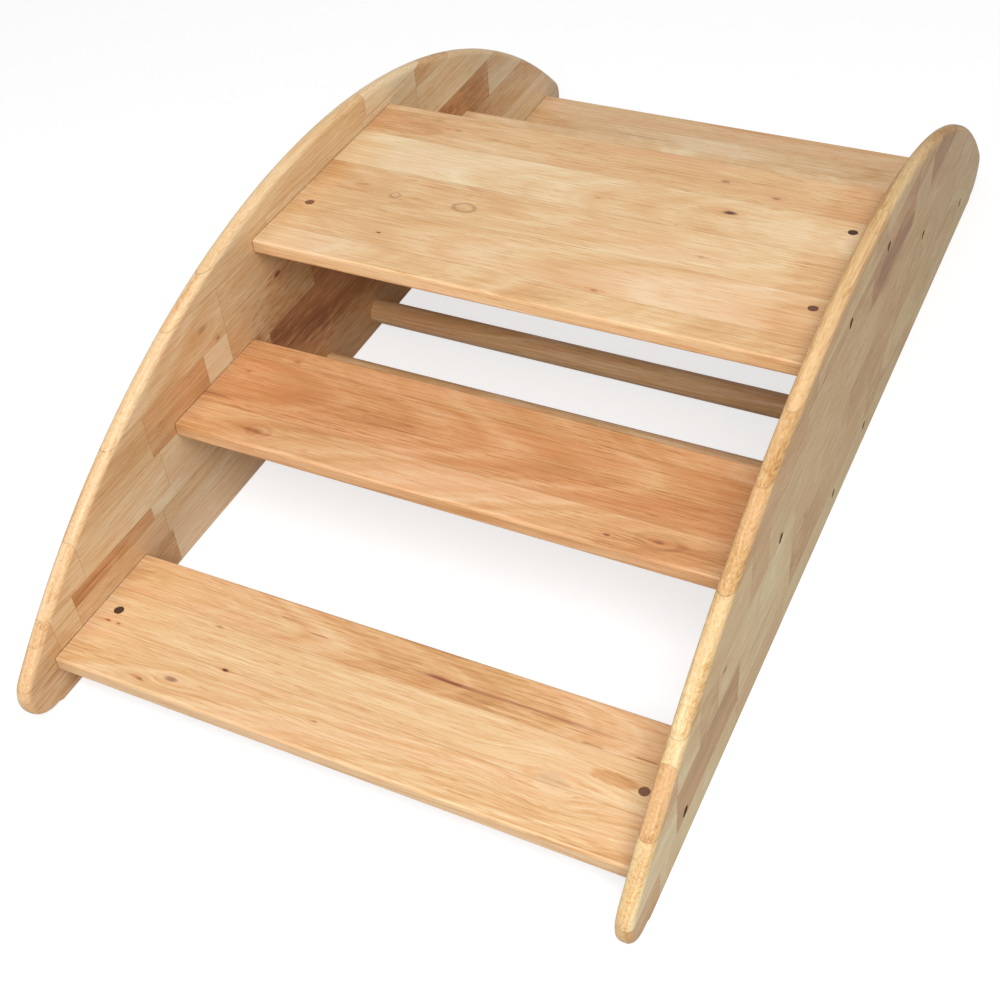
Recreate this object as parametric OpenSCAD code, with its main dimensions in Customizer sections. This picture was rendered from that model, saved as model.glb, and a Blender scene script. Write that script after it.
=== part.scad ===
// Two-way step bridge and rocker for toddlers. Two half-moon side panels carry five treads and
// two round rails. Steps way up it stands on the straight edges of the panels, and turned over
// it rocks on the curved ones. Each tread end is drawn up to its panel by cap bolts and barrel
// nuts, and kept from turning by glued dowels.
//
// X runs across the object, along the treads. Y runs from the front steps to the rear steps.
// The origin is on the floor, in the middle of the object.

/* [Side panels] */
// Length of a side panel along the floor
panel_length = 1200; // [950:10:1500]
// Height of a side panel at the middle of its arc
panel_height = 293; // [240:1:360]
// Thickness of a side panel
panel_thick = 16; // [13:0.1:22]
// Radius of the rounded front and rear tips
tip_r = 31; // [24:1:40]
// Radius rounded onto both sides of the curved edge
rim_r = 6.5; // [3:0.1:8]
// Radius sanded onto both sides of the straight edge
foot_r = 1.5; // [0.5:0.1:3]

/* [Treads] */
// Clear width between the side panels, which is the length of every tread
inner_width = 574; // [400:1:700]
// Thickness of a tread
tread_thick = 16; // [13:0.1:22]
// Radius along the edges of a tread
tread_edge_r = 3; // [1:0.5:6]
// Width of a step tread, front to rear
step_width = 146; // [110:1:180]
// Width of the top tread, front to rear
top_width = 292; // [240:1:350]
// Distance from the tip of a panel to the first edge of the bottom tread
toe_setback = 46; // [35:1:60]
// Space seen from above between the middle tread and the top tread
step_gap = 30; // [10:1:50]
// Height of the walking face of the bottom treads
bottom_height = 51; // [40:1:65]
// Rise from the bottom treads to the middle treads
middle_rise = 99; // [80:1:110]
// Distance from the crown of the panels down to the top tread
crown_drop = 41; // [30:1:60]

/* [Rails] */
// Diameter of a rail
rail_d = 28; // [22:0.5:35]
// Height of the middle of a rail
rail_height = 25; // [20:1:30]
// Distance between the two rails
rail_pitch = 111; // [80:1:140]
// Depth of the socket in a panel that holds the end of a rail
rail_socket = 8; // [5:0.5:9]

/* [Bolts and barrel nuts] */
// Diameter of a cap bolt
bolt_d = 6; // [5:0.5:8]
// Diameter of the head of a cap bolt
bolt_head_d = 10; // [9:0.5:13]
// Height of the head of a cap bolt
bolt_head_h = 5; // [4:0.5:6]
// Extra diameter around a bolt or a head
bolt_play = 1; // [0.4:0.1:1.5]
// Wood left in the panel under the head of a bolt
bolt_seat = 8; // [6:0.5:9]
// Distance between the two bolts in one end of the top tread
top_bolt_pitch = 130; // [100:1:160]
// Diameter of a barrel nut
nut_d = 10; // [9:0.5:13]
// Length of a barrel nut
nut_len = 9; // [7:0.5:11]
// Distance from the end of a tread to its barrel nuts
nut_inset = 20; // [16:1:30]
// Depth of the top of a plug below the face of its tread
plug_recess = 0.8; // [0.2:0.1:1.5]

/* [Dowels] */
// Diameter of a dowel
dowel_d = 8; // [6:0.5:10]
// Length of a dowel inside the panel
dowel_in_panel = 9; // [6:0.5:10]
// Length of a dowel inside the tread
dowel_in_tread = 20; // [14:1:30]
// Distance from the edge of a tread to its dowels
dowel_edge = 30; // [20:1:36]

/* [Rail screws] */
// Diameter of a rail screw
screw_d = 5; // [4:0.5:6]
// Length of a rail screw under its head
screw_length = 40; // [30:1:60]
// Diameter of the head of a rail screw
screw_head_d = 9; // [8:0.5:11]
// Height of the head of a rail screw
screw_head_h = 2.6; // [2:0.1:3]
// Depth of the hole that hides the head of a rail screw
screw_counterbore = 4; // [3:0.1:4]

/* [Hidden] */
$fn = 96;
cut = 1;              // how far a cutting tool runs past the wood
bit_r = 6;            // radius of the router bit's bearing, seen where a rounded rim runs out
glue_space = 1;       // empty end of a dowel hole
dowel_chamfer = 1;
plug_chamfer = 0.3;
hex_key = 5;          // width of the hex socket in a cap bolt
slot_w = 1.2;         // screwdriver slot in a barrel nut
slot_depth = 1;
point_length = 8;     // tapered point of a rail screw
cross_w = 1.4;        // cross recess in a rail screw
cross_depth = 1.2;

half_width = inner_width / 2;
rim = min(rim_r, panel_thick / 2 - 0.5);
tip_y = panel_length / 2 - tip_r;
crown_rise = panel_height - 2 * tip_r;
// The arc passes over the crown and is tangent to both tip circles.
arc_r = (tip_y * tip_y + crown_rise * crown_rise) / (2 * crown_rise) + tip_r;
arc_z = panel_height - arc_r;

top_height = panel_height - crown_drop;
middle_height = bottom_height + middle_rise;
bottom_y = panel_length / 2 - toe_setback - step_width / 2;
middle_y = top_width / 2 + step_gap + step_width / 2;

plug_len = (tread_thick - nut_len) / 2 - plug_recess;
nut_hole_depth = (tread_thick + nut_len) / 2;
bolt_length = bolt_seat + nut_inset + nut_d / 2 + 2;
head_hole_d = bolt_head_d + bolt_play;
head_hole_depth = panel_thick - bolt_seat;
screw_hole_d = screw_head_d + bolt_play;

// A tread is [distance from the middle, height of its walking face, width].
TOP = [0, top_height, top_width];
FRONT_MIDDLE = [-middle_y, middle_height, step_width];
FRONT_BOTTOM = [-bottom_y, bottom_height, step_width];
REAR_MIDDLE = [middle_y, middle_height, step_width];
REAR_BOTTOM = [bottom_y, bottom_height, step_width];
TREADS = [TOP, FRONT_MIDDLE, FRONT_BOTTOM, REAR_MIDDLE, REAR_BOTTOM];
RAILS = [-rail_pitch / 2, rail_pitch / 2];
SIDES = [-1, 1];

// A fixing is [side of the tread, offset from the tread's middle, 1 where the barrel nut
// goes in from the walking face or -1 where it goes in from below].
TOP_FIXINGS = [for (side = SIDES, row = [-1, 1])
    [side, row * top_bolt_pitch / 2, side < 0 && row > 0 ? -1 : 1]];
BELOW_FIXINGS = [for (side = SIDES) [side, 0, -1]];
ABOVE_FIXINGS = [for (side = SIDES) [side, 0, 1]];

function is_top(tread) = tread[0] == 0;
function fixings(tread) = is_top(tread) ? TOP_FIXINGS : tread == FRONT_BOTTOM ? ABOVE_FIXINGS : BELOW_FIXINGS;
function dowel_offset(tread) = tread[2] / 2 - dowel_edge;

// Lays a flat outline in the Y-Z plane and extrudes it along X.
module along_x(length) {
    rotate([90, 0, 90]) linear_extrude(length) children();
}

// Puts a round tool, made along its own Z, on an axis that runs outwards from the middle of the
// object: side -1 points it at the left, side 1 at the right.
module facing(side) {
    rotate([0, 90 * side, 0]) children();
}

// Half profile of a disc with both edges of its rim rounded, for turning about its own Z axis.
module disc_profile(r) {
    square([r - rim, panel_thick]);
    translate([0, rim]) square([r, panel_thick - 2 * rim]);
    for (z = [rim, panel_thick - rim]) translate([r - rim, z]) circle(rim);
}

// Sector of a panel's plane with a rounded rim, about a centre at height z. Angles count from
// straight down, towards the rear.
module rimmed_sector(r, y, z, from_angle, to_angle) {
    translate([0, y, z]) rotate([0, 90, 0]) rotate(from_angle)
        rotate_extrude(angle = to_angle - from_angle, $fn = 360) disc_profile(r);
}

// Cut left by the router bit where it leaves the rounded rim at the foot of the rear tip.
module run_out() {
    translate([0, tip_y, -bit_r]) rotate([0, 90, 0]) for (flip = [0, 1])
        translate([0, 0, flip * panel_thick]) mirror([0, 0, flip]) rotate_extrude()
            difference() {
                translate([0, -cut]) square([bit_r + rim, rim + cut]);
                translate([bit_r + rim, rim]) circle(rim);
            }
}

// Straight edge of the panel, from one tip centre to the other.
module foot() {
    difference() {
        translate([0, tip_y, 0]) rotate([90, 0, 0]) linear_extrude(2 * tip_y) {
            translate([0, foot_r]) square([panel_thick, tip_r - foot_r]);
            translate([foot_r, 0]) square([panel_thick - 2 * foot_r, tip_r]);
            for (x = [foot_r, panel_thick - foot_r]) translate([x, foot_r]) circle(foot_r);
        }
        for (flip = [0, 1]) mirror([0, flip, 0]) run_out();
    }
}

// Half-moon blank: one long arc, two round tips and the straight foot between them. They meet
// on flat faces, so the rounded rim runs on from one to the next.
module panel_blank() {
    reach = atan(tip_y / (tip_r - arc_z));
    intersection() {
        rimmed_sector(arc_r, 0, arc_z, 180 - reach, 180 + reach);
        translate([-cut, -panel_length, tip_r]) cube([panel_thick + 2 * cut, 2 * panel_length, panel_height]);
    }
    for (flip = [0, 1]) mirror([0, flip, 0]) rimmed_sector(tip_r, tip_y, tip_r, 0, 180 - reach);
    foot();
}

// Holes that one tread needs in a panel whose inner face is at X = 0.
module tread_holes(tread, side) {
    translate([0, tread[0], tread[1] - tread_thick / 2]) {
        for (fixing = fixings(tread)) if (fixing[0] == side) translate([0, fixing[1], 0]) {
            translate([-cut, 0, 0]) facing(1) cylinder(h = panel_thick + 2 * cut, d = bolt_d + bolt_play);
            translate([bolt_seat, 0, 0]) facing(1) cylinder(h = head_hole_depth + cut, d = head_hole_d);
        }
        for (row = [-1, 1]) translate([-cut, row * dowel_offset(tread), 0])
            facing(1) cylinder(h = dowel_in_panel + glue_space + cut, d = dowel_d);
    }
}

// Socket, screw hole and counterbore that hold the end of one rail.
module rail_holes(y) {
    translate([0, y, rail_height]) {
        translate([-cut, 0, 0]) facing(1) cylinder(h = rail_socket + cut, d = rail_d);
        translate([-cut, 0, 0]) facing(1) cylinder(h = panel_thick + 2 * cut, d = screw_d);
        translate([panel_thick - screw_counterbore, 0, 0])
            facing(1) cylinder(h = screw_counterbore + cut, d = screw_hole_d);
    }
}

module panel(side) {
    color("burlywood") mirror([side < 0 ? 1 : 0, 0, 0]) translate([half_width, 0, 0]) difference() {
        panel_blank();
        for (tread = TREADS) tread_holes(tread, side);
        for (y = RAILS) rail_holes(y);
    }
}

// Cross-section of a tread: a rectangle with its four corners rounded.
module tread_profile(width) {
    r = tread_edge_r;
    translate([-width / 2 + r, -tread_thick]) square([width - 2 * r, tread_thick]);
    translate([-width / 2, r - tread_thick]) square([width, tread_thick - 2 * r]);
    for (y = [r - width / 2, width / 2 - r], z = [r - tread_thick, -r]) translate([y, z]) circle(r);
}

// Moves a bolt, nut, plug or hole, made about the nut's centre for the right end of a tread with
// the nut going in from above, to one fixing of a tread.
module at_fixing(tread, fixing) {
    translate([fixing[0] * (half_width - nut_inset), tread[0] + fixing[1], tread[1] - tread_thick / 2])
        mirror([fixing[0] < 0 ? 1 : 0, 0, 0]) mirror([0, 0, fixing[2] < 0 ? 1 : 0]) children();
}

// Holes for one bolt and its barrel nut in the right end of a tread.
module fixing_holes() {
    facing(1) cylinder(h = nut_inset + cut, d = bolt_d + bolt_play);
    facing(-1) cylinder(h = nut_d / 2 + 2 + bolt_play, d = bolt_d + bolt_play);
    translate([0, 0, tread_thick / 2 - nut_hole_depth]) cylinder(h = nut_hole_depth + cut, d = nut_d);
}

module tread(shape) {
    color("tan") difference() {
        translate([-half_width, shape[0], shape[1]]) along_x(inner_width) tread_profile(shape[2]);
        for (fixing = fixings(shape)) at_fixing(shape, fixing) fixing_holes();
        for (side = SIDES, row = [-1, 1])
            translate([side * (half_width - dowel_in_tread - glue_space), shape[0] + row * dowel_offset(shape),
                shape[1] - tread_thick / 2])
                facing(side) cylinder(h = dowel_in_tread + glue_space + cut, d = dowel_d);
    }
}

// Hex-socket cap bolt along X, its thread through the barrel nut at the origin.
module bolt() {
    seat = nut_inset + bolt_seat;
    translate([seat, 0, 0]) facing(1) difference() {
        union() {
            cylinder(h = bolt_head_h, d = bolt_head_d);
            translate([0, 0, -bolt_length]) cylinder(h = bolt_length, d = bolt_d);
        }
        translate([0, 0, bolt_head_h / 2]) cylinder(h = bolt_head_h, d = hex_key / cos(30), $fn = 6);
    }
}

module bolts(tread) {
    color("dimgray") for (fixing = fixings(tread)) at_fixing(tread, fixing) bolt();
}

// Cross dowel of steel, tapped through its side and slotted at the end that is turned to line it up.
module nuts(tread) {
    color("silver") for (fixing = fixings(tread)) at_fixing(tread, fixing) difference() {
        translate([0, 0, -nut_len / 2]) cylinder(h = nut_len, d = nut_d);
        translate([-nut_d, 0, 0]) facing(1) cylinder(h = 2 * nut_d, d = bolt_d);
        translate([-nut_d, -slot_w / 2, nut_len / 2 - slot_depth]) cube([2 * nut_d, slot_w, slot_depth + cut]);
    }
}

// Dark wooden plug that closes the hole over a barrel nut.
module plugs(tread) {
    color("saddlebrown") for (fixing = fixings(tread)) at_fixing(tread, fixing)
        translate([0, 0, nut_len / 2]) rotate_extrude() polygon([
            [0, 0], [nut_d / 2, 0], [nut_d / 2, plug_len - plug_chamfer],
            [nut_d / 2 - plug_chamfer, plug_len], [0, plug_len]
        ]);
}

// Glued dowels across the joint between a tread and a panel.
module dowels(tread) {
    length = dowel_in_panel + dowel_in_tread;
    r = dowel_d / 2;
    color("wheat") for (side = SIDES, row = [-1, 1])
        translate([side * (half_width - dowel_in_tread), tread[0] + row * dowel_offset(tread),
            tread[1] - tread_thick / 2])
            facing(side) rotate_extrude() polygon([
                [0, 0], [r - dowel_chamfer, 0], [r, dowel_chamfer], [r, length - dowel_chamfer],
                [r - dowel_chamfer, length], [0, length]
            ]);
}

// Round rail with its ends in the sockets of the panels and a pilot hole in each end.
module rail(y) {
    length = inner_width + 2 * rail_socket;
    color("tan") translate([-length / 2, y, rail_height]) difference() {
        facing(1) cylinder(h = length, d = rail_d);
        for (x = [-cut, length - screw_bite()]) translate([x, 0, 0])
            facing(1) cylinder(h = screw_bite() + cut, d = screw_d);
    }
}

// Length of a rail screw that is inside the rail.
function screw_bite() = screw_length - (panel_thick - screw_counterbore - rail_socket);

// Screw along Z with its head above the origin.
module screw() {
    difference() {
        union() {
            cylinder(h = screw_head_h, d = screw_head_d);
            translate([0, 0, point_length - screw_length]) cylinder(h = screw_length - point_length, d = screw_d);
            translate([0, 0, -screw_length]) cylinder(h = point_length, d1 = 1, d2 = screw_d);
        }
        for (turn = [0, 90]) rotate(turn) translate([-screw_head_d / 4, -cross_w / 2, screw_head_h - cross_depth])
            cube([screw_head_d / 2, cross_w, cross_depth + cut]);
    }
}

module rail_screws(y) {
    color("dimgray") for (side = SIDES)
        translate([side * (half_width + panel_thick - screw_counterbore), y, rail_height]) facing(side) screw();
}

panel(-1);  // left_panel
panel(1);  // right_panel
tread(TOP);  // top_tread
tread(FRONT_MIDDLE);  // front_middle_tread
tread(FRONT_BOTTOM);  // front_bottom_tread
tread(REAR_MIDDLE);  // rear_middle_tread
tread(REAR_BOTTOM);  // rear_bottom_tread
rail(RAILS[0]);  // front_rail
rail(RAILS[1]);  // rear_rail
bolts(TOP);  // top_bolts
bolts(FRONT_MIDDLE);  // front_middle_bolts
bolts(FRONT_BOTTOM);  // front_bottom_bolts
bolts(REAR_MIDDLE);  // rear_middle_bolts
bolts(REAR_BOTTOM);  // rear_bottom_bolts
nuts(TOP);  // top_nuts
nuts(FRONT_MIDDLE);  // front_middle_nuts
nuts(FRONT_BOTTOM);  // front_bottom_nuts
nuts(REAR_MIDDLE);  // rear_middle_nuts
nuts(REAR_BOTTOM);  // rear_bottom_nuts
plugs(TOP);  // top_plugs
plugs(FRONT_MIDDLE);  // front_middle_plugs
plugs(FRONT_BOTTOM);  // front_bottom_plugs
plugs(REAR_MIDDLE);  // rear_middle_plugs
plugs(REAR_BOTTOM);  // rear_bottom_plugs
dowels(TOP);  // top_dowels
dowels(FRONT_MIDDLE);  // front_middle_dowels
dowels(FRONT_BOTTOM);  // front_bottom_dowels
dowels(REAR_MIDDLE);  // rear_middle_dowels
dowels(REAR_BOTTOM);  // rear_bottom_dowels
rail_screws(RAILS[0]);  // front_rail_screws
rail_screws(RAILS[1]);  // rear_rail_screws
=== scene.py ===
import math
import random

import bmesh
import bpy
from mathutils import Matrix, Vector


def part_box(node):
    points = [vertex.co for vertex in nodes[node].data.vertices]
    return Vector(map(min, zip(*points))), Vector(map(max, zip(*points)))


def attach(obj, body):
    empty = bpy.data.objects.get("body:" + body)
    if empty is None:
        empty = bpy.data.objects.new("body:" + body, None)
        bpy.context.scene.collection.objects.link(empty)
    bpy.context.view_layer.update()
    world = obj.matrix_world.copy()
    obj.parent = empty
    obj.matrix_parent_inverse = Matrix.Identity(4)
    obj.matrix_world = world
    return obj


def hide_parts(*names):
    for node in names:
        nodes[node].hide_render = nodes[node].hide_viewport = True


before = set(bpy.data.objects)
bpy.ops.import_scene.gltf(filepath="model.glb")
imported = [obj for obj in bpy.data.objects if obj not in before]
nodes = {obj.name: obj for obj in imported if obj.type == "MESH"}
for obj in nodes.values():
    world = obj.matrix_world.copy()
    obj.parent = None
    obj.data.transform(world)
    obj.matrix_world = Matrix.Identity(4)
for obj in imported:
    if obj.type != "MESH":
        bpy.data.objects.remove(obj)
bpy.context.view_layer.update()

# ---------------------------------------------------------------------------------------------
# Side panels. Each one is sawn from a board glued up from short staves of rubberwood that run
# the length of the panel, with butt joints at staggered places. The curved edge is rounded over
# and the whole board has a satin lacquer.
# ---------------------------------------------------------------------------------------------

MM_PER_M = 1000


class Value:
    """A shader socket that can be written into sums."""

    def __init__(self, finish, socket):
        self.finish = finish
        self.socket = socket

    def maths(self, operation, *others):
        inputs = dict(enumerate((self,) + others))
        return self.finish.node("ShaderNodeMath", {"operation": operation}, inputs)

    def __add__(self, other):
        return self.maths("ADD", other)

    __radd__ = __add__

    def __sub__(self, other):
        return self.maths("SUBTRACT", other)

    def __rsub__(self, other):
        return (self * -1.0) + other

    def __mul__(self, other):
        return self.maths("MULTIPLY", other)

    __rmul__ = __mul__

    def __truediv__(self, other):
        return self.maths("DIVIDE", other)

    def __gt__(self, other):
        return self.maths("GREATER_THAN", other)

    def __lt__(self, other):
        return self.maths("LESS_THAN", other)

    def __abs__(self):
        return self.maths("ABSOLUTE")


class Finish:
    """A material while its nodes are being laid."""

    def __init__(self, name):
        self.material = bpy.data.materials.new(name)
        self.material.use_nodes = True
        self.tree = self.material.node_tree
        self.tree.nodes.clear()

    def node(self, kind, settings=None, inputs=None, output=0):
        made = self.tree.nodes.new(kind)
        for key, value in (settings or {}).items():
            if key == "stops":
                lay_stops(made.color_ramp, value)
            elif key == "blend":
                made.color_ramp.interpolation = value
            else:
                setattr(made, key, value)
        for key, value in (inputs or {}).items():
            if isinstance(value, Value):
                self.tree.links.new(value.socket, made.inputs[key])
            else:
                made.inputs[key].default_value = value
        return Value(self, made.outputs[output]) if len(made.outputs) else None

    def place(self):
        """The point on the piece, as its three distances in millimetres."""
        point = self.node("ShaderNodeTexCoord", output="Object")
        parts = self.node("ShaderNodeSeparateXYZ", inputs={"Vector": point}).socket.node
        return [Value(self, parts.outputs[axis]) * MM_PER_M for axis in "XYZ"]

    def vector(self, x, y, z):
        return self.node("ShaderNodeCombineXYZ", inputs={"X": x, "Y": y, "Z": z})

    def distance(self, x, y):
        """How far from nought a point of a plane is."""
        point = self.vector(x, y, 0.0)
        return self.node("ShaderNodeVectorMath", {"operation": "LENGTH"}, {0: point}, "Value")

    def ramp(self, value, stops, blend="LINEAR"):
        settings = {"blend": blend, "stops": stops}
        return self.node("ShaderNodeValToRGB", settings, {"Fac": value}, "Color")

    def clouds(self, vector, detail=2.0, roughness=0.5, distortion=0.0):
        settings = {"noise_dimensions": "3D"}
        inputs = {"Vector": vector, "Scale": 1.0, "Detail": detail, "Roughness": roughness,
                  "Distortion": distortion}
        return self.node("ShaderNodeTexNoise", settings, inputs, "Fac")

    def bands(self, value, detail=2.0, roughness=0.5):
        settings = {"noise_dimensions": "1D"}
        inputs = {"W": value, "Scale": 1.0, "Detail": detail, "Roughness": roughness}
        return self.node("ShaderNodeTexNoise", settings, inputs, "Fac")

    def step(self, value, low, high):
        """0 below low, 1 above high, and a smooth rise between them."""
        settings = {"interpolation_type": "SMOOTHSTEP"}
        inputs = {"Value": value, "From Min": low, "From Max": high}
        return self.node("ShaderNodeMapRange", settings, inputs)

    def mix(self, share, first, second, blend_type="MIX"):
        settings = {"data_type": "RGBA", "blend_type": blend_type}
        return self.node("ShaderNodeMix", settings, {0: share, 6: first, 7: second}, 2)

    def close(self, inputs, bump=None):
        """Ends the material in one Principled shader, with an optional height in metres."""
        if bump is not None:
            height = {"Strength": 1.0, "Distance": 1.0, "Height": bump}
            normal = self.node("ShaderNodeBump", inputs=height)
            inputs = dict(inputs, Normal=normal)
        surface = self.node("ShaderNodeBsdfPrincipled", inputs=inputs)
        self.node("ShaderNodeOutputMaterial", inputs={"Surface": surface})
        return self.material


def lay_stops(ramp, stops):
    while len(ramp.elements) > 1:
        ramp.elements.remove(ramp.elements[-1])
    ramp.elements[0].position = stops[0][0]
    ramp.elements[0].color = (*stops[0][1], 1.0)
    for position, colour in stops[1:]:
        ramp.elements.new(position).color = (*colour, 1.0)


def wear(piece, material):
    """Gives a CAD node its finished material in every slot it has."""
    for slot in piece.material_slots:
        slot.material = material


HEART_SPREAD = 45
HEART_SCALE = 800


def stave_map(finish, along, across, rows, length, span):
    """Tone, seed and log centre of the stave at a point, packed in one colour. A row is where it
    starts and the staves along it, each a start and a tone from -1, dark, to 1, pale."""
    place = along / length + 0.5
    found = None
    for number, (start, staves) in enumerate(rows):
        stops = []
        middle = (start + (rows + [(span, None)])[number + 1][0]) / 2
        for begin, tone in staves:
            stave_random = random.Random(round(start * 31 + begin * 7))
            seed = stave_random.random()
            heart = middle + stave_random.uniform(-HEART_SPREAD, HEART_SPREAD)
            packed = (tone / 2 + 0.5, seed, heart / HEART_SCALE + 0.5)
            stops.append((begin / length + 0.5, packed))
        colour = finish.ramp(place, stops, "CONSTANT")
        found = colour if found is None else finish.mix(across > start, found, colour)
    return found


def parts_of(finish, colour):
    split = finish.node("ShaderNodeSeparateColor", inputs={"Color": colour}).socket.node
    return [Value(finish, split.outputs[channel]) for channel in ("Red", "Green", "Blue")]


# Where the soft edge of each mark starts and ends, with 1 for the edge of the mark itself.
KNOT_EDGE = (1.0, 0.35)
BLUSH_EDGE = (2.6, 0.8)
PUSH_EDGE = (4.5, 0.5)
OUTLINE_EDGE = (0.34, 0.06)
PATCH_EDGE = (1.15, 0.7)
KNOT_STRETCH = 0.45


def knot_masks(finish, along, across, knots, ripple):
    """Darkness of the knots at a point, the blush round them, and how far they push the grain."""
    dark = blush = push = 0.0
    for centre_along, centre_across, reach, strength in knots:
        beside = across - centre_across
        stretched = (along - centre_along) * (KNOT_STRETCH / reach)
        away = finish.distance(stretched, beside * (1.0 / reach)) + ripple
        dark = finish.step(away, *KNOT_EDGE) * strength + dark
        blush = finish.step(away, *BLUSH_EDGE) * (0.5 * min(1.0, strength + 0.3)) + blush
        push = finish.step(away, *PUSH_EDGE) * beside * 0.75 + push
    return dark, blush, push


def ellipse(finish, along, across, centre_along, centre_across, half_length, half_width):
    """0 at the middle of an ellipse that lies along the grain, and 1 on its edge."""
    return finish.distance((along - centre_along) * (1.0 / half_length),
                           (across - centre_across) * (1.0 / half_width))


def outline_masks(finish, along, across, outlines, ripple):
    """Darkness of the thin lines that ring a healed knot."""
    dark = 0.0
    for *shape, strength in outlines:
        off_line = abs(ellipse(finish, along, across, *shape) + ripple * 0.5 - 1.0)
        dark = finish.step(off_line, *OUTLINE_EDGE) * strength + dark
    return dark


def streak_masks(finish, along, across, streaks, ripple):
    """Darkness of the long thin mineral streaks that lie along the grain."""
    dark = 0.0
    for centre_along, centre_across, half_length, half_width, strength in streaks:
        lengthwise = abs(along - centre_along) + ripple * 30.0
        sideways = abs(across - centre_across + ripple * 3.0)
        end = finish.step(lengthwise, half_length, half_length * 0.3)
        side = finish.step(sideways, half_width, half_width * 0.2)
        dark = end * side * strength + dark
    return dark


def patch_shift(finish, along, across, patches, ripple):
    """How much paler or darker the soft-edged patches make the wood; some patches are painted
    shade.
    """
    shift = 0.0
    for *shape, change in patches:
        away = ellipse(finish, along, across, *shape) + ripple
        shift = finish.step(away, *PATCH_EDGE) * change + shift
    return shift


WOOD_TONES = [
    (0.00, (0.190, 0.070, 0.024)),
    (0.22, (0.380, 0.165, 0.060)),
    (0.45, (0.585, 0.308, 0.126)),
    (0.65, (0.705, 0.452, 0.228)),
    (0.82, (0.775, 0.570, 0.335)),
    (1.00, (0.835, 0.690, 0.460)),
]
ROSE_TINT = (0.900, 0.620, 0.520, 1.0)
KNOT_BROWN = (0.110, 0.042, 0.020, 1.0)
STREAK_RED = (0.250, 0.070, 0.035, 1.0)
GLUE_BROWN = (0.200, 0.090, 0.040, 1.0)
# Lighter wood of the rounded edges: partly rubbed wear, partly a painted highlight.
WORN_AND_HIGHLIT_WOOD = (0.740, 0.500, 0.270, 1.0)
# Near black of the painted shade on the walls of the holes.
BORE_SHADE_BLACK = (0.020, 0.011, 0.007, 1.0)
# Brown of the painted shade at the tread ends and of the joint line, which is partly painted
# shadow.
PAINTED_JOINT_SHADOW = (0.085, 0.036, 0.016, 1.0)
NO_TINT = (1.0, 1.0, 1.0, 1.0)
GLUE_LINE = 0.35
SEED_SHIFT = 517.0
BROAD_SHARE, LINE_SHARE, FIBRE_SHARE, MOTTLE_SHARE = 0.56, 0.42, 0.86, 0.34
TONE_SHARE, PORE_SHARE = 0.36, 0.20
GRIT_HEIGHT = 0.00009
JOINT_SHADE, JOINT_GAP, JOINT_END = 26.0, 0.9, 0.3


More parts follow.
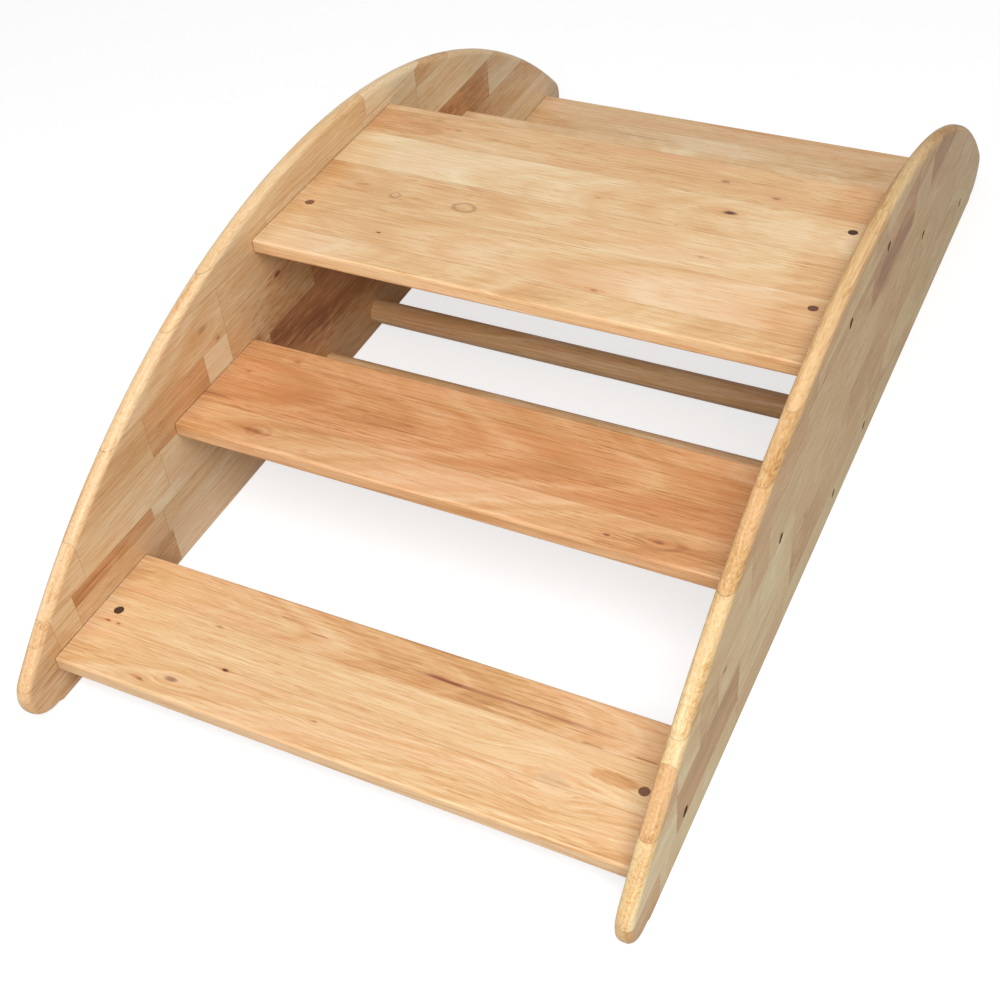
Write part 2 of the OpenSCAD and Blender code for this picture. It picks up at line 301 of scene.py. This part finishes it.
def rubberwood(name, along, across, depth, rows, length, span, knots=(), outlines=(), streaks=(),
               patches=(), warmth=0.0, tint=NO_TINT, gloss=0.25, joint=None, worn_and_highlit_at=None,
               bored_at=None):
    """Lacquered rubberwood glued up from staves: rings cut by the face, fine fibres, short dark
    pores, knots, mineral streaks and thin glue lines. Sizes are in millimetres. joint is where
    the ends meet a panel, and painted shade darkens the ends towards it, with a dark joint line
    that is partly painted shadow. The last two hooks give the edges, lighter from rubbed wear and a
    painted highlight, and the walls of the drilled holes, darkened with painted shade."""
    finish = Finish(name)
    place = dict(zip("XYZ", finish.place()))
    along, across, depth = place[along], place[across[0]] - across[1], place[depth]
    board = (rows, length, span)
    tone, seed, heart = parts_of(finish, stave_map(finish, along, across, *board))
    before = stave_map(finish, along - GLUE_LINE, across - GLUE_LINE, *board)
    after = stave_map(finish, along + GLUE_LINE, across + GLUE_LINE, *board)
    seam = abs(parts_of(finish, before)[1] - parts_of(finish, after)[1]) > 0.001

    own = seed * SEED_SHIFT
    ripple = (finish.clouds(finish.vector(along * 0.05, across * 0.16, own), 2.0) - 0.5) * 0.9
    dark, blush, push = knot_masks(finish, along, across, knots, ripple)
    beside = across - (heart - 0.5) * HEART_SCALE - push
    sway = (finish.clouds(finish.vector(along * 0.0035, across * 0.012, own), 2.0) - 0.5) * 46.0
    under = depth + (seed * 34.0 + 24.0) + (along + 300.0) * (seed - 0.5) * 0.11
    ring = finish.distance(beside + sway, under)
    broad = finish.bands(ring * 0.085 + own, 1.0)
    lines = finish.bands(ring * 0.42 + own, 2.0, 0.6)
    run = (across - push) + sway * 0.12
    fine = finish.vector(along * 0.010, run * 0.50 + own, depth * 0.50)
    fibres = finish.clouds(fine, 4.0, 0.72)
    mottle = finish.clouds(finish.vector(along * 0.008, across * 0.03, depth * 0.03 + own), 2.0)
    short = finish.vector(along * 0.040, run * 0.85 + own, depth * 0.85)
    flecks = finish.clouds(short, 2.0, 0.6)
    pores = finish.step(flecks, 0.54, 0.64) * finish.step(lines, 0.30, 0.6)

    shade = (broad - 0.5) * BROAD_SHARE + (lines - 0.5) * LINE_SHARE
    shade = shade + (fibres - 0.5) * FIBRE_SHARE + (mottle - 0.5) * MOTTLE_SHARE
    shade = shade + tone * TONE_SHARE + (0.5 - pores * PORE_SHARE)
    shade = shade + patch_shift(finish, along, across, patches, ripple)
    streak = streak_masks(finish, along, across, streaks, ripple)
    line = outline_masks(finish, along, across, outlines, ripple)
    colour = finish.ramp(shade, WOOD_TONES)
    redness = mottle + (broad - 0.5) * 0.6 - (tone - 0.5) * 0.5
    rosy = finish.step(redness, 0.42, 0.75) * 0.42 + warmth
    colour = finish.mix(rosy + blush * 0.8, colour, ROSE_TINT, "MULTIPLY")
    colour = finish.mix(1.0, colour, tint, "MULTIPLY")
    colour = finish.mix(streak, colour, STREAK_RED)
    colour = finish.mix(dark + line, colour, KNOT_BROWN)
    colour = finish.mix(seam * 0.35, colour, GLUE_BROWN)
    roughness = (fibres - 0.5) * 0.18 + pores * 0.12 + 0.40
    grit = finish.clouds(finish.vector(along * 0.02, across * 0.55, depth * 0.55), 2.0, 0.6)
    height = (grit - 0.5) * GRIT_HEIGHT
    # Partly rubbed wear, partly a painted highlight: the rounded edges are made lighter and
    # rougher.
    if worn_and_highlit_at is not None:
        uneven = finish.step(mottle + fibres * 0.5, 0.60, 0.85)
        worn_and_highlit = worn_and_highlit_at(finish, along, across, depth) * uneven
        colour = finish.mix(worn_and_highlit * 0.25, colour, WORN_AND_HIGHLIT_WOOD)
        roughness = roughness + worn_and_highlit * 0.10
    # Painted shade: the walls of the holes are darkened nearly to black.
    if bored_at is not None:
        painted_bore_shade = bored_at(finish, along, across, depth) * 0.88
        colour = finish.mix(painted_bore_shade, colour, BORE_SHADE_BLACK)
    # Painted shade: the tread ends darken towards the panel, and the thin dark line at the joint is
    # partly a real joint and partly painted shadow.
    if joint is not None:
        painted_end_shade = finish.step(abs(along), joint - JOINT_SHADE, joint) * 0.16
        joint_line_and_shadow = finish.step(abs(along), joint - JOINT_GAP, joint - JOINT_END) * 0.75
        colour = finish.mix(painted_end_shade + joint_line_and_shadow, colour, PAINTED_JOINT_SHADOW)
    return finish.close({"Base Color": colour, "Roughness": roughness, "IOR": 1.5,
                         "Specular IOR Level": gloss + 0.2, "Coat Weight": gloss,
                         "Coat Roughness": 0.22}, height)


low, high = (corner * MM_PER_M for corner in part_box("left_panel"))
panel_length = high.y - low.y
panel_height = high.z - low.z
# Stave tones. Beside the staves' own tone, the dark middle rows under the treads carry painted
# shade and the pale top rows painted light.
LEFT_ROWS = [
    (0, [(-600, 0.0), (-367, 0.25), (-100, -0.4), (250, 0.1)]),
    (45, [(-600, -0.1), (-544, 0.5), (-514, -0.2), (-372, 0.3), (-200, -0.7), (300, 0.2)]),
    (76, [(-600, 0.0), (-544, 0.5), (-514, -1.0), (-387, 0.3), (-180, -0.7), (60, -0.9),
          (300, 0.3)]),
    (92, [(-600, 0.2), (-490, 0.4), (-352, 0.2), (-150, -0.9), (100, -0.6), (382, -0.5)]),
    (138, [(-600, 0.1), (-362, -0.5), (-260, 0.8), (-218, 0.2), (-60, -0.6), (100, -0.9),
           (380, 0.4)]),
    (186, [(-600, 0.3), (-218, 0.3), (-60, 0.4), (203, 0.9)]),
    (240, [(-600, 0.4), (-120, 0.6), (80, 0.6), (203, 0.2)]),
    (262, [(-600, 0.5), (90, 0.9)]),
]
# Stave tones. Beside the staves' own tone, the upper rows are made darker and the low rows lighter
# as painted shade and light.
RIGHT_ROWS = [
    (0, [(-600, -0.3), (-542, 0.6), (-352, 0.1), (-222, 0.4), (60, 0.1), (250, 0.2)]),
    (38, [(-600, 0.4), (-503, -0.3), (-353, 0.4), (-208, -0.4), (48, 0.0), (330, 0.0)]),
    (90, [(-600, -0.6), (-505, 0.4), (-450, -0.1), (-408, 0.3), (-210, -0.3), (-30, -0.5),
          (200, -0.1)]),
    (140, [(-600, 0.1), (-335, -0.4), (-290, 0.0), (-60, -0.4), (130, -0.3), (300, -0.3)]),
    (201, [(-600, -0.6), (-196, -0.3), (13, -1.0), (177, -0.1), (248, -0.9)]),
    (240, [(-600, -0.5), (-170, -0.3), (60, -0.7), (182, -0.3), (248, -0.7)]),
    (263, [(-600, -0.4), (5, -0.4), (50, -0.2)]),
]
TIP_RADIUS = 31.0
RIM_RADIUS = 6.5
crown_rise = panel_height - 2 * TIP_RADIUS
tip_y = panel_length / 2 - TIP_RADIUS
bow = (tip_y ** 2 + crown_rise ** 2) / (2 * crown_rise) + TIP_RADIUS
bow_drop = bow - panel_height
rim_from = bow - RIM_RADIUS
BORE_DEPTH = 7.7
FOOT_MARGIN = 3.0
BORES_END = 560.0


def rim_mask(finish, along, across, depth):
    """1 on the rounded part of the curved edge, 0 on the flat faces."""
    away = finish.distance(along, across + bow_drop)
    return finish.step(away, rim_from - 0.5, rim_from + 2.5)


def bore_mask(finish, along, across, depth):
    """1 on the walls of the bolt and screw holes, which painted shade darkens."""
    away = finish.distance(along, across + bow_drop)
    inside = abs(abs(depth) - board_middle) < BORE_DEPTH
    return inside * (away < rim_from - 1.0) * (across > FOOT_MARGIN) * (abs(along) < BORES_END)


board_middle = sum(corner.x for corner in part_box("right_panel")) / 2 * MM_PER_M
left_wood = rubberwood(
    "left_panel_wood", "Y", ("Z", 0.0), "X", LEFT_ROWS, panel_length, panel_height,
    knots=[(-250, 213, 5, 0.35), (-230, 189, 2, 0.6), (-117, 191, 4, 0.8), (410, 60, 4, 0.7)],
    streaks=[(-455, 84, 45, 2.0, 0.4), (-560, 36, 30, 1.5, 0.4)],
    # The first two patches are painted shade on the panel under the top and middle treads.
    patches=[(60, 140, 240, 80, -0.22), (-150, 85, 120, 60, -0.14), (-545, 20, 60, 40, -0.08),
             (480, 120, 130, 120, 0.13)],
    gloss=0.12, worn_and_highlit_at=rim_mask, bored_at=bore_mask)
right_wood = rubberwood(
    "right_panel_wood", "Y", ("Z", 0.0), "X", RIGHT_ROWS, panel_length, panel_height,
    knots=[(-393, 125, 3, 0.8), (-167, 95, 3, 0.7)],
    streaks=[(-290, 68, 55, 2.5, 0.55), (-300, 60, 40, 1.5, 0.45), (383, 74, 60, 2.5, 0.5),
             (-130, 242, 66, 2.0, 0.5)],
    patches=[(-55, 258, 125, 7, 0.22), (95, 215, 82, 24, -0.16)],
    tint=(0.93, 1.0, 0.94, 1.0), gloss=0.06, worn_and_highlit_at=rim_mask, bored_at=bore_mask)
wear(nodes["left_panel"], left_wood)
wear(nodes["right_panel"], right_wood)

HALF_THICK = 8.0
RIM_SLACK = 0.2
ANGLE_SLACK = 0.001
WELD_DISTANCE = 0.000002
RIM_CUTS = 3
SHARP_ANGLE = math.radians(28)
arc_end = math.atan2(tip_y, TIP_RADIUS + bow_drop)


def on_rim(point):
    """Whether a point of the mesh, in metres, lies on the rounded long arc."""
    x, y, z = (part * MM_PER_M for part in point)
    up = z + bow_drop
    turned = abs(math.atan2(y, up))
    return math.hypot(y, up) > rim_from - RIM_SLACK and turned < arc_end + ANGLE_SLACK


def true_rim(point, middle):
    """The nearest point of the exact rounding, in metres."""
    x, y, z = (part * MM_PER_M for part in point)
    up = z + bow_drop
    away = math.hypot(y, up)
    off = x - middle
    flat = HALF_THICK - RIM_RADIUS
    wide, out = max(abs(off) - flat, 0.0), max(away - rim_from, 0.0)
    size = math.hypot(wide, out)
    new_off = off if wide == 0.0 else math.copysign(flat + wide / size * RIM_RADIUS, off)
    stretch = (rim_from + out / size * RIM_RADIUS) / away
    return Vector((middle + new_off, y * stretch, up * stretch - bow_drop)) / MM_PER_M


def board_with_fine_rim(name, node, wood):
    """The panel's board, with the rounding of its long arc in facets fine enough to look round.
    Each edge there is cut in four and every corner moved onto the exact rounding."""
    low, high = (corner * MM_PER_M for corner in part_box(node))
    middle = (low.x + high.x) / 2
    board = bpy.data.objects.new(name, nodes[node].data.copy())
    bpy.context.collection.objects.link(board)
    shape = bmesh.new()
    shape.from_mesh(board.data)
    bmesh.ops.remove_doubles(shape, verts=shape.verts, dist=WELD_DISTANCE)
    rounded = [face for face in shape.faces if all(on_rim(corner.co) for corner in face.verts)]
    edges = list({edge for face in rounded for edge in face.edges})
    bmesh.ops.subdivide_edges(shape, edges=edges, cuts=RIM_CUTS, use_grid_fill=True)
    for corner in shape.verts:
        if on_rim(corner.co):
            corner.co = true_rim(corner.co, middle)
    bmesh.ops.triangulate(shape, faces=shape.faces)
    for face in shape.faces:
        face.smooth = True
    for edge in shape.edges:
        edge.smooth = edge.calc_face_angle(0.0) < SHARP_ANGLE
    shape.to_mesh(board.data)
    shape.free()
    if "custom_normal" in board.data.attributes:
        board.data.attributes.remove(board.data.attributes["custom_normal"])
    bpy.ops.object.select_all(action="DESELECT")
    board.select_set(True)
    bpy.context.view_layer.objects.active = board
    weighted = board.modifiers.new("even_faces", "WEIGHTED_NORMAL")
    weighted.keep_sharp = True
    bpy.ops.object.modifier_apply(modifier=weighted.name)
    wear(board, wood)
    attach(board, "root")
    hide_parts(node)


board_with_fine_rim("left_board", "left_panel", left_wood)
board_with_fine_rim("right_board", "right_panel", right_wood)

# ---------------------------------------------------------------------------------------------
# Treads. Each one is a board of three to five wide staves with the grain along it, its long
# edges eased, its ends drawn up tight against the panels.
# ---------------------------------------------------------------------------------------------


def tread_staves(*staves):
    """Rows of one stave each, from where it starts across the tread and its tone."""
    return [(start, [(-287, tone)]) for start, tone in staves]


TREADS = {
    "top_tread": dict(
        rows=tread_staves((-146, 0.1), (-112.5, 0.05), (-48, 0.2), (17, 0.55), (82, -0.15)),
        knots=[(146, 58, 4.5, 1.0), (-171, -91, 1.6, 1.0), (70, -108, 2.5, 0.5),
               (-184, 114, 3, 0.4), (123, 111, 3, 0.5), (180, 97, 3, 0.5),
               (-228, -15.5, 3, 0.3), (12, 40, 2, 0.3), (103, 21, 2, 0.3), (145, -23, 2, 0.3)],
        outlines=[(-109.5, -21.5, 11.5, 7.5, 0.35), (-188, -24, 5, 4.5, 0.4)],
        streaks=[(-60, -80, 45, 0.8, 0.25), (200, -128, 40, 0.8, 0.3)],
        # The last patch is painted shadow of the right panel over the right end.
        patches=[(-262, 111, 75, 24, -0.15), (-125, 96, 62, 10, 0.10), (275, 0, 48, 220, -0.10)]),
    "front_middle_tread": dict(
        rows=tread_staves((-73, -0.2), (-31, -0.65), (46.5, -0.35)), warmth=0.30,
        knots=[(-202, -52, 5, 0.30), (210, -51, 3, 0.5), (164, -59, 2, 0.7), (-222, 54, 3, 0.4),
               (-262, 23, 2, 0.5)],
        outlines=[(-202, -52, 12, 8, 0.15), (210, -51, 20, 9, 0.15)],
        streaks=[(-72, -2, 40, 1.6, 0.4), (-60, 1, 26, 0.8, 0.4), (-274, -19.5, 22, 3, 0.5)],
        patches=[(-150, 5, 130, 14, -0.08), (150, -5, 110, 16, -0.06)]),
    "front_bottom_tread": dict(
        rows=tread_staves((-73, -0.05), (-23.5, 0.15), (25, -0.3)),
        knots=[(-171, -52, 4, 0.6), (-130, -24, 2.2, 1.0), (-198, -62, 2, 0.4),
               (-257, -14.5, 1.5, 0.7), (-269, -14.5, 1.5, 0.7), (193, -19.5, 9, 0.15),
               (-164, 19, 2, 0.3), (-24, -43, 2, 0.3)],
        streaks=[(130, 41.5, 125, 2.6, 0.55), (63, 42, 30, 2.6, 0.6), (-109, 52, 12, 1, 0.7),
                 (-72, 44.5, 12, 1, 0.7), (210, 26.5, 14, 1, 0.7), (258, 29, 12, 1.2, 0.7),
                 (193, 35.5, 14, 1.2, 0.6)],
        patches=[(243, 2, 24, 7, -0.25), (60, 34, 70, 8, -0.10)]),
    "rear_middle_tread": dict(
        rows=tread_staves((-73, 0.1), (-20, -0.2), (40, 0.2)), knots=[(90, 12, 4, 0.6)]),
    "rear_bottom_tread": dict(
        rows=tread_staves((-73, 0.0), (-30, 0.3), (30, -0.1)), streaks=[(-120, 10, 60, 2, 0.5)]),
}
EASE_FROM, EASE_TO = 3.4, 1.2
for tread, made in TREADS.items():
    low, high = (corner * MM_PER_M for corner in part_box(tread))
    middle = (low.y + high.y) / 2
    half_width = (high.y - low.y) / 2

    def eased_edges(finish, along, across, depth, half_width=half_width):
        return finish.step(abs(across), half_width - EASE_FROM, half_width - EASE_TO)

    wood = rubberwood(tread + "_wood", "X", ("Y", middle), "Z", length=high.x - low.x,
                      span=half_width, joint=high.x, worn_and_highlit_at=eased_edges, **made)
    wear(nodes[tread], wood)

# ---------------------------------------------------------------------------------------------
# Rails. Two turned rods of the same wood near the straight edge of the panels.
# ---------------------------------------------------------------------------------------------

ROD_SPAN = 20
for rail, tone in (("front_rail", 0.0), ("rear_rail", -0.1)):
    low, high = (corner * MM_PER_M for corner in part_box(rail))
    middle = (low.y + high.y) / 2
    rod = [(-ROD_SPAN, [(-300, tone)])]
    wood = rubberwood(rail + "_wood", "X", ("Y", middle), "Z", rod, high.x - low.x, ROD_SPAN)
    wear(nodes[rail], wood)

# ---------------------------------------------------------------------------------------------
# Bolts and rail screws of blackened steel with a thin oil film, and the barrel nuts they screw
# into, which are turned from zinc-plated steel.
# ---------------------------------------------------------------------------------------------


OIL_BLACK = (0.012, 0.011, 0.011, 1.0)
BARE_STEEL = (0.160, 0.150, 0.140, 1.0)
BRIGHT_ZINC = (0.620, 0.620, 0.620, 1.0)
STAINED_ZINC = (0.420, 0.400, 0.370, 1.0)


def blackened_steel(name):
    finish = Finish(name)
    x, y, z = finish.place()
    scuff = finish.clouds(finish.vector(x * 0.9, y * 0.9, z * 0.9), 4.0, 0.65)
    fine = finish.clouds(finish.vector(x * 6.0, y * 6.0, z * 6.0), 2.0)
    bare = finish.step(scuff, 0.60, 0.72)
    colour = finish.mix(bare, OIL_BLACK, BARE_STEEL)
    roughness = (fine - 0.5) * 0.2 + bare * -0.2 + 0.70
    return finish.close({"Base Color": colour, "Metallic": bare * 0.6, "Roughness": roughness,
                         "Specular IOR Level": 0.12}, (fine - 0.5) * 0.00003)


bolt_steel = blackened_steel("bolt_steel")
for name, piece in nodes.items():
    if name.endswith("_bolts") or name.endswith("_screws"):
        wear(piece, bolt_steel)


def nut_steel():
    finish = Finish("nut_steel")
    x, y, z = finish.place()
    turned = finish.bands(z * 9.0, 2.0)
    stain = finish.clouds(finish.vector(x * 0.5, y * 0.5, z * 0.5), 3.0)
    colour = finish.mix(finish.step(stain, 0.45, 0.7), BRIGHT_ZINC, STAINED_ZINC)
    roughness = (turned - 0.5) * 0.25 + 0.30
    return finish.close({"Base Color": colour, "Metallic": 1.0, "Roughness": roughness},
                        (turned - 0.5) * 0.00004)


zinc = nut_steel()
for name, piece in nodes.items():
    if name.endswith("_nuts"):
        wear(piece, zinc)

# ---------------------------------------------------------------------------------------------
# Plugs over the barrel nuts, turned from dark wood, and the pale dowels in the joints.
# ---------------------------------------------------------------------------------------------


def plug_wood(name, left, right_front, right_rear):
    """Dark wood with its shade at the left end of the tread and at each corner of the right end."""
    finish = Finish(name)
    x, y, z = finish.place()
    grain = finish.clouds(finish.vector(x * 0.5, y * 3.2, z * 3.2), 3.0, 0.6)
    on_right = x > 0.0
    at_rear = y > 0.0
    each = on_right * (at_rear * (right_rear - right_front) + (right_front - left)) + left
    shade = each + (grain - 0.5) * 0.9
    colour = finish.ramp(shade, [(0.0, (0.022, 0.010, 0.008)), (0.5, (0.105, 0.045, 0.026)),
                                 (1.0, (0.260, 0.120, 0.065))])
    return finish.close({"Base Color": colour, "Roughness": (grain - 0.5) * 0.2 + 0.45},
                        (grain - 0.5) * 0.0002)


def dowel_wood():
    finish = Finish("dowel_wood")
    x, y, z = finish.place()
    grain = finish.clouds(finish.vector(x * 0.1, y * 2.0, z * 2.0), 3.0, 0.6)
    colour = finish.ramp(grain, [(0.3, (0.62, 0.42, 0.24)), (0.7, (0.80, 0.62, 0.42))])
    return finish.close({"Base Color": colour, "Roughness": (grain - 0.5) * 0.2 + 0.6},
                        (grain - 0.5) * 0.0002)


PLUG_SHADES = {
    "top_plugs": (0.80, 0.62, 0.20),
    "front_middle_plugs": (0.50, 0.40, 0.40),
    "front_bottom_plugs": (0.25, 0.75, 0.75),
    "rear_middle_plugs": (0.60, 0.45, 0.45),
    "rear_bottom_plugs": (0.40, 0.55, 0.55),
}
for plugs, shades in PLUG_SHADES.items():
    wear(nodes[plugs], plug_wood(plugs + "_wood", *shades))

pale_wood = dowel_wood()
for name, piece in nodes.items():
    if name.endswith("_dowels"):
        wear(piece, pale_wood)

# ---------------------------------------------------------------------------------------------
# Camera, floor and light: a white studio sweep under one broad soft light.
# ---------------------------------------------------------------------------------------------

CAMERA_PLACE = (0.5283, -1.1403, 1.0619)
CAMERA_RIGHT = Vector((0.899977, 0.430414, -0.069174))
CAMERA_UP = Vector((-0.252557, 0.644125, 0.722023))
SENSOR_WIDTH = 36
FOCAL_LENGTH = 52.86
FLOOR_SIZE = 14
WORLD_LIGHT = 0.38
camera_back = CAMERA_RIGHT.cross(CAMERA_UP)
camera_data = bpy.data.cameras.new("camera")
camera_data.sensor_width = SENSOR_WIDTH
camera_data.lens = FOCAL_LENGTH
camera = bpy.data.objects.new("camera", camera_data)
turn = Matrix((CAMERA_RIGHT, CAMERA_UP, camera_back)).transposed().to_4x4()
camera.matrix_world = Matrix.Translation(CAMERA_PLACE) @ turn
bpy.context.collection.objects.link(camera)
bpy.context.scene.camera = camera

bpy.ops.object.select_all(action="DESELECT")


def paper_sheet(name, height, shade, glow):
    """A white paper floor, with a little light of its own to lift its shadows."""
    bpy.ops.mesh.primitive_plane_add(size=FLOOR_SIZE, location=(0, 0, height))
    sheet = bpy.context.object
    sheet.name = name
    paper = Finish(name + "_paper")
    x, y, z = paper.place()
    fleck = paper.clouds(paper.vector(x * 0.02, y * 0.02, 0.0), 3.0)
    pale = shade * 1.03
    white = paper.mix(fleck, (shade, shade, shade, 1.0), (pale, pale, pale, 1.0))
    sheet.data.materials.append(paper.close({
        "Base Color": white, "Roughness": 0.9, "Specular IOR Level": 0.2,
        "Emission Color": (1.0, 1.0, 1.0, 1.0), "Emission Strength": glow}))
    return sheet


# The seen sheet is lifted towards white. The sheet under it lights the object as plain paper would.
seen = paper_sheet("floor", -0.0002, 0.35, 0.70)
seen.visible_diffuse = seen.visible_glossy = seen.visible_shadow = False
under = paper_sheet("floor_bounce", -0.0006, 0.55, 0.0)
under.visible_camera = False

world = bpy.data.worlds.new("studio")
bpy.context.scene.world = world
world.use_nodes = True
background = world.node_tree.nodes["Background"]
background.inputs["Color"].default_value = (1.0, 1.0, 1.0, 1.0)
background.inputs["Strength"].default_value = WORLD_LIGHT


def softbox(name, place, target, size, power):
    lamp = bpy.data.lights.new(name, "AREA")
    lamp.shape = "SQUARE"
    lamp.size = size
    lamp.energy = power
    holder = bpy.data.objects.new(name, lamp)
    holder.location = place
    holder.rotation_euler = (Vector(target) - Vector(place)).to_track_quat("-Z", "Y").to_euler()
    bpy.context.collection.objects.link(holder)


softbox("main_light", (0.70, -1.70, 2.4), (0, 0, 0.1), 2.0, 92)

bpy.context.scene.view_settings.view_transform = "Standard"
bpy.context.scene.view_settings.look = "None"
